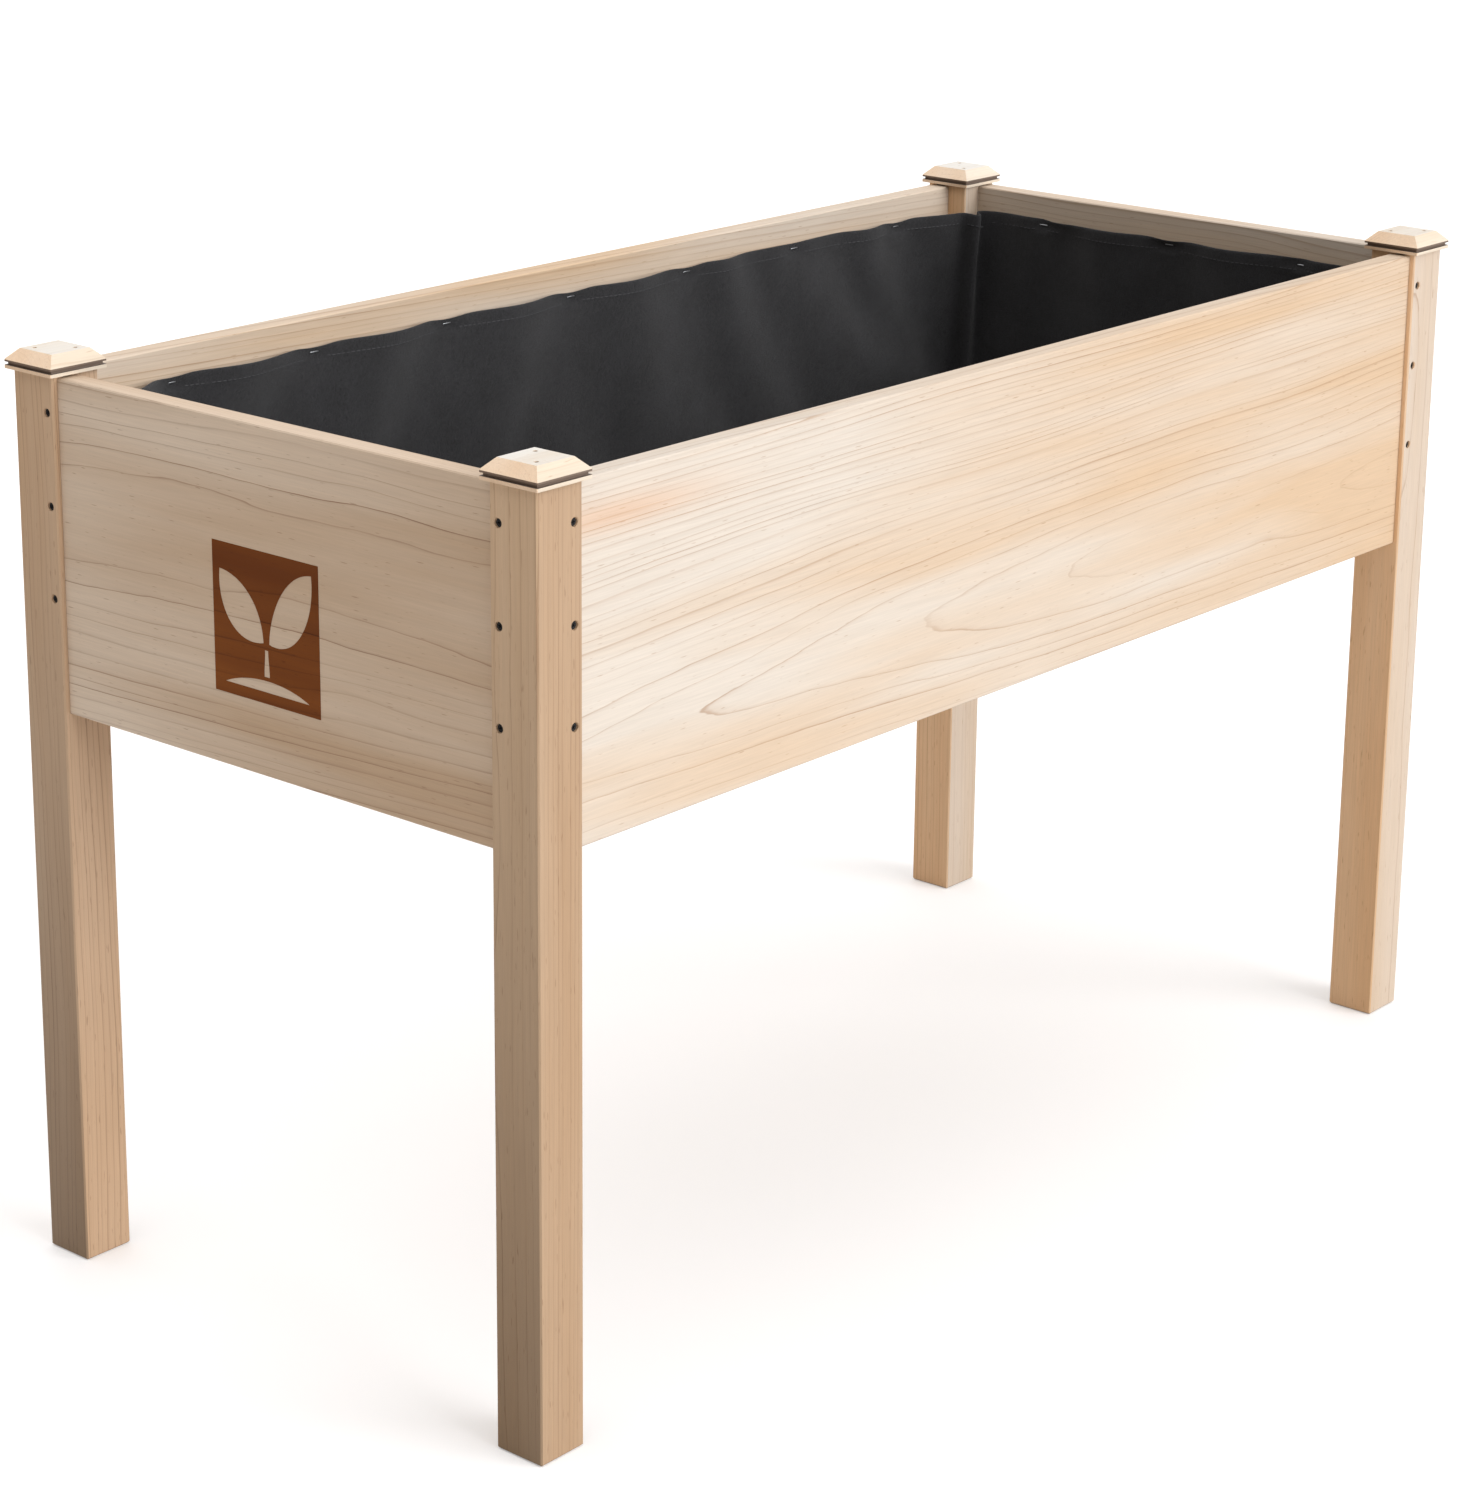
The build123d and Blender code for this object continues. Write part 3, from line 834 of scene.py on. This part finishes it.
def screwTree():
    # A countersunk screw: turned head and shank, a thread wound round it, and a cross recess
    tree = bpy.data.node_groups.new("screw", "GeometryNodeTree")
    given = fillGroup(
        tree,
        {"Length": 27 * mm, "Head": 6.3 * mm, "Head Height": 2.6 * mm, "Shank": 3.6 * mm, "Pitch": 2 * mm},
    )
    shares = (("Head", 0.5), ("Shank", 0.36), ("Shank", 0.5), ("Length", -1.0), ("Head Height", -1.0))
    headRadius, rootRadius, neckRadius, tip, neck = (
        addNode(tree, "ShaderNodeMath", {0: given[size], 1: share}, operation="MULTIPLY").outputs[0]
        for size, share in shares
    )
    tipStart = addNode(tree, "ShaderNodeMath", {0: tip, 1: 4 * mm}, operation="ADD").outputs[0]
    threadTop = addNode(tree, "ShaderNodeMath", {0: neck, 1: 3 * mm}, operation="SUBTRACT").outputs[0]
    body = turnedShape(
        tree,
        24,
        [
            (0.3 * mm, tip),
            (rootRadius, tipStart),
            (rootRadius, threadTop),
            (
                neckRadius,
                addNode(tree, "ShaderNodeMath", {0: threadTop, 1: 0.6 * mm}, operation="ADD").outputs[0],
            ),
            (neckRadius, neck),
            (headRadius, -0.3 * mm),
            (
                addNode(
                    tree, "ShaderNodeMath", {0: headRadius, 1: 0.15 * mm}, operation="SUBTRACT"
                ).outputs[0],
                0.0,
            ),
        ],
    )
    slots = []
    for turn in (0, 90):
        arm = addNode(
            tree,
            "ShaderNodeCombineXYZ",
            {
                0: addNode(tree, "ShaderNodeMath", {0: given["Head"], 1: 0.56}, operation="MULTIPLY"),
                1: 0.9 * mm,
                2: 2.8 * mm,
            },
        )
        block = addNode(tree, "GeometryNodeMeshCube", {"Size": arm})
        slots.append(
            addNode(
                tree, "GeometryNodeTransform", {"Geometry": block, "Rotation": (0, 0, math.radians(turn))}
            ).outputs[0],
        )
    cut = addNode(tree, "GeometryNodeMeshBoolean", {"Mesh 1": body}, operation="DIFFERENCE")
    for slot in slots:
        tree.links.new(slot, cut.inputs["Mesh 2"])
    threadLong = addNode(tree, "ShaderNodeMath", {0: threadTop, 1: tipStart}, operation="SUBTRACT")
    helix = addNode(
        tree,
        "GeometryNodeCurveSpiral",
        {
            "Resolution": 12,
            "Rotations": addNode(
                tree, "ShaderNodeMath", {0: threadLong, 1: given["Pitch"]}, operation="DIVIDE"
            ),
            "Start Radius": rootRadius,
            "End Radius": rootRadius,
            "Height": threadLong,
        },
    )
    ridge = addNode(
        tree,
        "GeometryNodeCurvePrimitiveCircle",
        {
            "Resolution": 3,
            "Radius": addNode(tree, "ShaderNodeMath", {0: given["Shank"], 1: 0.15}, operation="MULTIPLY"),
        },
    )
    thread = addNode(
        tree, "GeometryNodeCurveToMesh", {"Curve": helix, "Profile Curve": ridge, "Fill Caps": True}
    )
    down = addNode(tree, "ShaderNodeCombineXYZ", {0: 0.0, 1: 0.0, 2: tipStart})
    thread = addNode(tree, "GeometryNodeTransform", {"Geometry": thread, "Translation": down})
    both = addNode(tree, "GeometryNodeJoinGeometry", {0: cut})
    tree.links.new(thread.outputs[0], both.inputs[0])
    placeCopies(tree, given, both.outputs[0])
    return tree


def nailTree():
    # A wire nail: slightly domed head, plain shank, cut point
    tree = bpy.data.node_groups.new("nail", "GeometryNodeTree")
    given = fillGroup(tree, {"Length": 32 * mm, "Head": 5 * mm, "Head Height": 1.2 * mm, "Shank": 2.2 * mm})
    shares = (("Head", 0.5), ("Shank", 0.5), ("Length", -1.0), ("Head Height", -1.0))
    headRadius, shankRadius, tip, under = (
        addNode(tree, "ShaderNodeMath", {0: given[size], 1: share}, operation="MULTIPLY").outputs[0]
        for size, share in shares
    )
    shape = turnedShape(
        tree,
        20,
        [
            (0.2 * mm, tip),
            (shankRadius, addNode(tree, "ShaderNodeMath", {0: tip, 1: 4 * mm}, operation="ADD").outputs[0]),
            (
                shankRadius,
                addNode(tree, "ShaderNodeMath", {0: under, 1: 0.2 * mm}, operation="SUBTRACT").outputs[0],
            ),
            (
                addNode(
                    tree, "ShaderNodeMath", {0: headRadius, 1: 0.1 * mm}, operation="SUBTRACT"
                ).outputs[0],
                under,
            ),
            (
                headRadius,
                addNode(tree, "ShaderNodeMath", {0: under, 1: 0.2 * mm}, operation="ADD").outputs[0],
            ),
            (headRadius, -0.3 * mm),
            (
                addNode(
                    tree, "ShaderNodeMath", {0: headRadius, 1: 0.4 * mm}, operation="SUBTRACT"
                ).outputs[0],
                0.0,
            ),
        ],
    )
    placeCopies(tree, given, shape)
    return tree


def stapleTree():
    # One bent wire: two legs and a crown
    tree = bpy.data.node_groups.new("staple", "GeometryNodeTree")
    given = fillGroup(tree, {"Crown": 11 * mm, "Leg": 7 * mm, "Wire": 1.2 * mm, "Bend": 0.9 * mm})
    line = addNode(tree, "GeometryNodeMeshLine", {"Count": 4})
    pick = addNode(tree, "GeometryNodeIndexSwitch", data_type="VECTOR")
    while len(pick.index_switch_items) < 4:
        pick.index_switch_items.new()
    tree.links.new(addNode(tree, "GeometryNodeInputIndex").outputs[0], pick.inputs["Index"])
    half = addNode(
        tree,
        "ShaderNodeMath",
        {
            0: addNode(tree, "ShaderNodeMath", {0: given["Crown"], 1: given["Wire"]}, operation="SUBTRACT"),
            1: 0.5,
        },
        operation="MULTIPLY",
    )
    top = addNode(tree, "ShaderNodeMath", {0: given["Wire"], 1: -0.5}, operation="MULTIPLY").outputs[0]
    foot = addNode(tree, "ShaderNodeMath", {0: top, 1: given["Leg"]}, operation="SUBTRACT").outputs[0]
    for item, (side, height) in enumerate(((-1.0, foot), (-1.0, top), (1.0, top), (1.0, foot))):
        corner = addNode(
            tree,
            "ShaderNodeCombineXYZ",
            {0: addNode(tree, "ShaderNodeMath", {0: half, 1: side}, operation="MULTIPLY"), 2: height},
        )
        tree.links.new(corner.outputs[0], pick.inputs[str(item)])
    bent = addNode(tree, "GeometryNodeSetPosition", {"Geometry": line, "Position": pick})
    wire = addNode(tree, "GeometryNodeMeshToCurve", {0: bent})
    wire = addNode(
        tree, "GeometryNodeFilletCurve", {"Curve": wire, "Radius": given["Bend"], "Count": 4}, mode="POLY"
    )
    section = addNode(
        tree,
        "GeometryNodeCurvePrimitiveQuadrilateral",
        {"Width": given["Wire"], "Height": given["Wire"]},
    )
    staple = addNode(
        tree, "GeometryNodeCurveToMesh", {"Curve": wire, "Profile Curve": section, "Fill Caps": True}
    )
    placeCopies(tree, given, staple.outputs[0])
    return tree


def solidBoxes(node):
    # The box of each separate solid in a node
    work = bmesh.new()
    work.from_mesh(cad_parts[node].data)
    bmesh.ops.remove_doubles(work, verts=work.verts, dist=0.001 * mm)
    waiting, boxes = set(work.verts), []
    while waiting:
        group, edge = [], [waiting.pop()]
        while edge:
            corner = edge.pop()
            group.append(corner.co.copy())
            for link in corner.link_edges:
                other = link.other_vert(corner)
                if other in waiting:
                    waiting.remove(other)
                    edge.append(other)
        boxes.append((Vector(map(min, *group)), Vector(map(max, *group))))
    work.free()
    return sorted(boxes, key=lambda box: [round(c, 4) for c in box[0]])


def meshFromNodes(name, source, tree, values):
    # Runs a tree on a mesh and keeps the result as a plain mesh
    piece = bpy.data.objects.new(name, source)
    bpy.context.scene.collection.objects.link(piece)
    modifier = piece.modifiers.new(name, "NODES")
    modifier.node_group = tree
    for item in tree.interface.items_tree:
        if item.in_out == "INPUT" and item.name in values:
            modifier[item.identifier] = values[item.name]
    bpy.context.view_layer.update()
    ready = piece.evaluated_get(bpy.context.evaluated_depsgraph_get())
    mesh = bpy.data.meshes.new_from_object(ready)
    piece.modifiers.remove(modifier)
    mesh.name = name
    piece.data = mesh
    return piece


def metal(name, colour, dull, rough, metallic):
    material, tree = newMaterial(name)
    spot = addNode(tree, "ShaderNodeTexCoord").outputs["Object"]
    # Plating mottles over a millimetre or so
    mottle = addNode(tree, "ShaderNodeTexNoise", {"Vector": spot, "Scale": 900.0, "Detail": 3.0})
    tint = addNode(tree, "ShaderNodeMix", {0: mottle, 6: linear(colour), 7: linear(dull)}, data_type="RGBA")
    wear = addNode(
        tree, "ShaderNodeMapRange", {"Value": mottle, "To Min": rough - 0.08, "To Max": rough + 0.12}
    )
    shader = addNode(
        tree,
        "ShaderNodeBsdfPrincipled",
        {"Base Color": tint.outputs[2], "Roughness": wear, "Metallic": metallic},
    )
    addNode(tree, "ShaderNodeOutputMaterial", {"Surface": shader})
    return material


# Sizes in mm. "faces" says which way a head looks: out of the planter, in, or up.
fasteners = {
    "panel_screws": {
        "tree": "screw", "faces": "out", "finish": "black", "slot": "black_screw",
        "sizes": {"Head": 6.3, "Head Height": 2.6, "Shank": 3.6, "Pitch": 2.0},
    },
    "cap_nails": {
        "tree": "nail", "faces": "up", "finish": "black", "slot": "black_screw",
        "sizes": {"Head": 3.6, "Head Height": 1.2, "Shank": 2.4},
    },
    "rail_screws": {
        "tree": "screw", "faces": "in", "finish": "zinc", "slot": "zinc_fastener",
        "sizes": {"Head": 7.6, "Head Height": 2.8, "Shank": 3.8, "Pitch": 2.2},
    },
    "slat_nails": {
        "tree": "nail", "faces": "up", "finish": "zinc", "slot": "zinc_fastener",
        "sizes": {"Head": 5.0, "Head Height": 1.2, "Shank": 2.2},
    },
    "liner_staples": {
        "tree": "staple", "faces": "in", "finish": "zinc", "slot": "zinc_fastener",
        "sizes": {"Crown": 11.0, "Wire": 1.2, "Bend": 0.9},
    },
}


def makeFasteners():
    trees = {"screw": screwTree(), "nail": nailTree(), "staple": stapleTree()}
    finishes = {
        # Black phosphate over steel: almost no shine, which reads as a dark hole
        "black": metal("steel, black phosphate", "#0c0c0d", "#171618", 0.7, 0.0),
        # Bright zinc plate: soft grey shine with a faint mottle
        "zinc": metal("steel, bright zinc plate", "#c3c5c8", "#9ea1a6", 0.34, 1.0),
    }
    dice = random.Random(11)
    for node, look in fasteners.items():
        places, outs, alongs = [], [], []
        for low, high in solidBoxes(node):
            size, middle = high - low, (low + high) / 2
            if look["faces"] == "up":
                axis = 2
            elif look["tree"] == "staple":
                axis = 0 if size.x < size.y else 1
            else:
                axis = 0 if size.x > size.y else 1
            sign = 1 if middle[axis] > 0 else -1
            if look["faces"] == "in":
                sign = -sign
            out, spot = Vector(), middle.copy()
            out[axis] = sign
            spot[axis] = high[axis] if sign > 0 else low[axis]
            side = Vector((0, 0, 1)).cross(out) if look["tree"] == "staple" else out.orthogonal()
            if look["tree"] != "staple":
                side.rotate(Quaternion(out, dice.uniform(0, math.tau)))
            places.append(spot)
            outs.extend(out)
            alongs.extend(side)
        source = bpy.data.meshes.new(node)
        source.from_pydata(places, [], [])
        for name, values in (("out", outs), ("along", alongs)):
            source.attributes.new(name, "FLOAT_VECTOR", "POINT").data.foreach_set("vector", values)
        values = {name: size * mm for name, size in look["sizes"].items()}
        reach = "Leg" if look["tree"] == "staple" else "Length"
        values[reach] = size[axis]
        if look["tree"] == "staple":
            values[reach] -= look["sizes"]["Wire"] / 2 * mm
        values["Material"] = finishes[look["finish"]]
        piece = meshFromNodes(node + "_made", source, trees[look["tree"]], values)
        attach(piece, "root")
        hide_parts(node)
        print("fasteners:", node, len(places), "pieces,", len(piece.data.polygons), "faces")


# A bag of black felted polypropylene, stapled under the rim. It is a little larger than the trough,
# so it stands off the walls in soft folds.

liner = {
    "cell": 13 * mm,  # about how far apart the cloth's points are
    "hem": 16 * mm,
    "thick": 0.9 * mm,
    "inset": 5 * mm,  # how far the sewn bag starts from the walls
    "clear": 1.6 * mm,  # from wood to the cloth's middle
    "spare": 0.014,  # share by which the cloth is larger than the space
    "steps": 30,  # frames of simulation
    "grip": 4,  # points of the cloth that a staple holds
    "drop": 1.5 * mm,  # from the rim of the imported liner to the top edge
    "cloth": {
        "quality": 7,
        "mass": 0.06,
        "tension_stiffness": 40,
        "compression_stiffness": 40,
        "shear_stiffness": 30,
        "bending_stiffness": 6,
        "air_damping": 2,
    },
    "feltDark": "#0c0c0d",
    "feltPale": "#303033",
    "thread": "#3c3c3f",
}


def troughSpace():
    low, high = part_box("liner")
    return {
        "x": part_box("panel_right")[0].x,
        "y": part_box("panel_rear")[0].y,
        "postX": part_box("post_rear_right")[0].x,
        "postY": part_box("post_rear_right")[0].y,
        "floor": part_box("slat_02")[1].z,
        "top": high.z - liner["drop"],
    }


def bagOutline(space, inset):
    # Round the walls and the posts' inner corners, evenly stepped
    x, y = space["x"] - inset, space["y"] - inset
    px, py = space["postX"] - inset, space["postY"] - inset
    corners = [
        (px, -y), (px, -py), (x, -py), (x, py), (px, py), (px, y),
        (-px, y), (-px, py), (-x, py), (-x, -py), (-px, -py), (-px, -y),
    ]
    points = []
    for start, end in zip(corners, corners[1:] + corners[:1]):
        start, end = Vector(start), Vector(end)
        steps = max(2, round((end - start).length / liner["cell"]))
        points += [start.lerp(end, step / steps) for step in range(steps)]
    return points


def bagMesh(space):
    outline = bagOutline(space, liner["inset"])
    count = len(outline)
    bottom = space["floor"] + liner["inset"]
    hemRows = [space["top"] - share * liner["hem"] for share in (0, 0.35, 0.7, 0.94, 1.06)]
    rows = round((hemRows[-1] - bottom) / liner["cell"])
    heights = hemRows + [hemRows[-1] + (bottom - hemRows[-1]) * row / rows for row in range(1, rows + 1)]
    points = [(p.x, p.y, z) for z in heights for p in outline]
    faces = []
    for row in range(len(heights) - 1):
        for i in range(count):
            j = (i + 1) % count
            faces.append((row * count + i, row * count + j, (row + 1) * count + j, (row + 1) * count + i))
    # The base: a grid of points inside the outline, joined to the lowest row
    cell = liner["cell"]
    inner = []
    across, along = round(space["x"] * 2 / cell), round(space["y"] * 2 / cell)
    for i in range(1, across):
        for j in range(1, along):
            x = space["x"] * (2 * i / across - 1)
            y = space["y"] * (2 * j / along - 1)
            room = liner["inset"] + 0.6 * cell
            inMiddle = abs(x) < space["postX"] - room or abs(y) < space["postY"] - room
            if inMiddle and abs(x) < space["x"] - room and abs(y) < space["y"] - room:
                inner.append(Vector((x, y)))
    ring = [Vector((p.x, p.y)) for p in outline]
    edges = [(i, (i + 1) % count) for i in range(count)]
    found = geometry.delaunay_2d_cdt(ring + inner, edges, [], 1, 1e-6)
    first = (len(heights) - 1) * count
    names = {}
    for index, (place, origins) in enumerate(zip(found[0], found[3])):
        if origins and origins[0] < count:
            names[index] = first + origins[0]
        else:
            names[index] = len(points)
            points.append((place.x, place.y, bottom))
    faces += [tuple(names[corner] for corner in face) for face in found[2]]
    mesh = bpy.data.meshes.new("liner_bag")
    mesh.from_pydata(points, [], faces)
    work = bmesh.new()
    work.from_mesh(mesh)
    bmesh.ops.recalc_face_normals(work, faces=work.faces)
    work.to_mesh(mesh)
    work.free()
    return mesh, count


def addWall(low, high):
    mesh = bpy.data.meshes.new("wall")
    corners = [(x, y, z) for x in (low[0], high[0]) for y in (low[1], high[1]) for z in (low[2], high[2])]
    sides = [(0, 1, 3, 2), (4, 6, 7, 5), (0, 4, 5, 1), (2, 3, 7, 6), (0, 2, 6, 4), (1, 5, 7, 3)]
    mesh.from_pydata(corners, [], sides)
    wall = bpy.data.objects.new("wall", mesh)
    bpy.context.scene.collection.objects.link(wall)
    wall.modifiers.new("collide", "COLLISION")
    wall.collision.thickness_outer = 1 * mm
    wall.collision.cloth_friction = 8
    return wall


def settleCloth(piece, space):
    # Gravity pulls the oversize bag down between its staples
    deep = 80 * mm
    x, y, floor, top = space["x"], space["y"], space["floor"], space["top"] + deep
    walls = [addWall((-x - deep, -y - deep, floor - deep), (x + deep, y + deep, floor))]
    for side in (-1, 1):
        ends = sorted((side * x, side * (x + deep)))
        walls.append(addWall((ends[0], -y - deep, floor), (ends[1], y + deep, top)))
        ends = sorted((side * y, side * (y + deep)))
        walls.append(addWall((-x, ends[0], floor), (x, ends[1], top)))
        for other in (-1, 1):
            postX = sorted((side * space["postX"], side * x))
            postY = sorted((other * space["postY"], other * y))
            walls.append(addWall((postX[0], postY[0], floor), (postX[1], postY[1], top)))
    cloth = piece.modifiers.new("cloth", "CLOTH")
    settings = cloth.settings
    for name, value in liner["cloth"].items():
        setattr(settings, name, value)
    settings.shrink_min = -liner["spare"]
    settings.vertex_group_mass = "stapled"
    cloth.collision_settings.distance_min = 1.2 * mm
    cloth.collision_settings.collision_quality = 3
    cloth.collision_settings.use_self_collision = False
    scene = bpy.context.scene
    for step in range(1, liner["steps"] + 1):
        scene.frame_set(step)
    ready = piece.evaluated_get(bpy.context.evaluated_depsgraph_get())
    places = [corner.co.copy() for corner in ready.data.vertices]
    piece.modifiers.remove(cloth)
    scene.frame_set(1)
    for wall in walls:
        bpy.data.objects.remove(wall)
    piece.data.vertices.foreach_set("co", [c for place in places for c in place])


def keepInside(mesh, space):
    # The cloth never goes into the wood
    clear = liner["clear"]
    x, y = space["x"] - clear, space["y"] - clear
    px, py = space["postX"] - clear, space["postY"] - clear
    for corner in mesh.vertices:
        place = corner.co
        place.x = max(-x, min(x, place.x))
        place.y = max(-y, min(y, place.y))
        place.z = max(space["floor"] + clear, min(space["top"], place.z))
        overX, overY = abs(place.x) - px, abs(place.y) - py
        if overX > 0 and overY > 0:
            if overX < overY:
                place.x = math.copysign(px, place.x)
            else:
                place.y = math.copysign(py, place.y)
    mesh.update()


def feltMaterial():
    # Felted polypropylene: matt black, slightly furry, with a faint bonded mottle
    material, tree = newMaterial("polypropylene felt, black")
    spot = addNode(tree, "ShaderNodeTexCoord").outputs["Object"]
    # Fibres are 0.03 mm; these strands are 2 mm wide, so that they show
    bent = addNode(tree, "ShaderNodeTexNoise", {"Vector": spot, "Scale": 70.0, "Detail": 2.0})
    strands = addNode(
        tree,
        "ShaderNodeTexNoise",
        {"Vector": bent.outputs["Color"], "Scale": 26.0, "Detail": 5.0, "Roughness": 0.7},
    )
    cloud = addNode(tree, "ShaderNodeTexNoise", {"Vector": spot, "Scale": 28.0, "Detail": 3.0})
    mixed = addNode(tree, "ShaderNodeMath", {0: cloud, 1: 0.35, 2: strands}, operation="MULTIPLY_ADD")
    tone = addNode(
        tree, "ShaderNodeMapRange", {"Value": mixed, "From Min": 0.42, "From Max": 0.95}
    )
    colour = addNode(
        tree,
        "ShaderNodeMix",
        {0: tone, 6: linear(liner["feltDark"]), 7: linear(liner["feltPale"])},
        data_type="RGBA",
    )
    bump = addNode(tree, "ShaderNodeBump", {"Strength": 1.0, "Distance": 1.0 * mm, "Height": strands})
    shader = addNode(
        tree,
        "ShaderNodeBsdfPrincipled",
        {
            "Base Color": colour.outputs[2],
            "Roughness": 0.95,
            "Specular IOR Level": 0.2,
            "Normal": bump,
            "Sheen Weight": 0.12,
            "Sheen Roughness": 0.7,
        },
    )
    addNode(tree, "ShaderNodeOutputMaterial", {"Surface": shader})
    return material


def stitchTree():
    # Stitches of one length with a gap between, along a line
    tree = bpy.data.node_groups.new("stitches", "GeometryNodeTree")
    given = fillGroup(tree, {"Step": 5 * mm, "Stitch": 3.6 * mm, "Thread": 0.8 * mm})
    line = addNode(tree, "GeometryNodeMeshToCurve", {0: given["Geometry"]})
    line = addNode(
        tree, "GeometryNodeResampleCurve", {"Curve": line, "Length": given["Step"]}, mode="LENGTH"
    )
    heading = addNode(
        tree,
        "FunctionNodeAlignRotationToVector",
        {"Vector": addNode(tree, "GeometryNodeInputTangent")},
        axis="Z",
    )
    half = addNode(tree, "ShaderNodeMath", {0: given["Thread"], 1: 0.5}, operation="MULTIPLY").outputs[0]
    end = addNode(tree, "ShaderNodeMath", {0: given["Stitch"], 1: 0.5}, operation="MULTIPLY").outputs[0]
    low = addNode(tree, "ShaderNodeMath", {0: end, 1: -1.0}, operation="MULTIPLY").outputs[0]
    thin = addNode(tree, "ShaderNodeMath", {0: half, 1: 0.45}, operation="MULTIPLY").outputs[0]
    stitch = turnedShape(
        tree,
        6,
        [
            (thin, low),
            (half, addNode(tree, "ShaderNodeMath", {0: low, 1: half}, operation="ADD").outputs[0]),
            (half, addNode(tree, "ShaderNodeMath", {0: end, 1: half}, operation="SUBTRACT").outputs[0]),
            (thin, end),
        ],
    )
    copies = addNode(
        tree, "GeometryNodeInstanceOnPoints", {"Points": line, "Instance": stitch, "Rotation": heading}
    )
    finishCopies(tree, given, copies.outputs[0])
    return tree


def makeLiner():
    space = troughSpace()
    mesh, count = bagMesh(space)
    piece = bpy.data.objects.new("liner_bag", mesh)
    bpy.context.scene.collection.objects.link(piece)
    # Stapled points are held: the cloth's corners nearest each staple
    staples = [(low + high) / 2 for low, high in solidBoxes("liner_staples")]
    held = piece.vertex_groups.new(name="stapled")
    hemBand = piece.vertex_groups.new(name="hem")
    hemRows = 4
    for staple in staples:
        near = sorted(range(count * 3), key=lambda i: (mesh.vertices[i].co - staple).length)[:liner["grip"]]
        held.add(near, 1.0, "REPLACE")
        for i in near:
            side = mesh.vertices[i].co
            if abs(staple.y) > space["postY"]:
                side.y = math.copysign(space["y"] - liner["clear"], staple.y)
            else:
                side.x = math.copysign(space["x"] - liner["clear"], staple.x)
    settleCloth(piece, space)
    keepInside(mesh, space)
    hemBand.add(range(count * hemRows), 1.0, "REPLACE")
    hemBand.add(range(count * hemRows, len(mesh.vertices)), 0.0, "REPLACE")

    # The stitch line runs near the hem's lower edge, on the side seen from above
    mesh.update()
    seam = []
    for i in range(count * 2, count * 3):
        corner = mesh.vertices[i]
        inward = corner.normal if corner.normal.dot(-corner.co) > 0 else -corner.normal
        seam.append(corner.co + inward * liner["thick"])
    line = bpy.data.meshes.new("liner_stitches")
    line.from_pydata(seam, [(i, (i + 1) % count) for i in range(count)], [])
    thread, tree = newMaterial("polyester thread, dark grey")
    shader = addNode(
        tree, "ShaderNodeBsdfPrincipled", {"Base Color": linear(liner["thread"]), "Roughness": 0.6}
    )
    addNode(tree, "ShaderNodeOutputMaterial", {"Surface": shader})
    stitches = meshFromNodes("liner_stitches", line, stitchTree(), {"Material": thread})

    wall = piece.modifiers.new("thick", "SOLIDIFY")
    wall.thickness = 2 * liner["thick"]
    wall.offset = 0
    wall.vertex_group = "hem"
    wall.thickness_vertex_group = 0.5
    smooth = piece.modifiers.new("smooth", "SUBSURF")
    smooth.levels = smooth.render_levels = 1
    mesh.materials.append(feltMaterial())
    for face in mesh.polygons:
        face.use_smooth = True
    for item in (piece, stitches):
        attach(item, "root")
    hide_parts("liner")
    side = space["top"] - space["floor"] + liner["hem"]  # the hem is folded over, so it counts twice


makeCamera()
makeStudio()
firGrain = makeGrainGroup()
finishWood(firGrain)
makeMark(firGrain)
makeFasteners()
makeLiner()
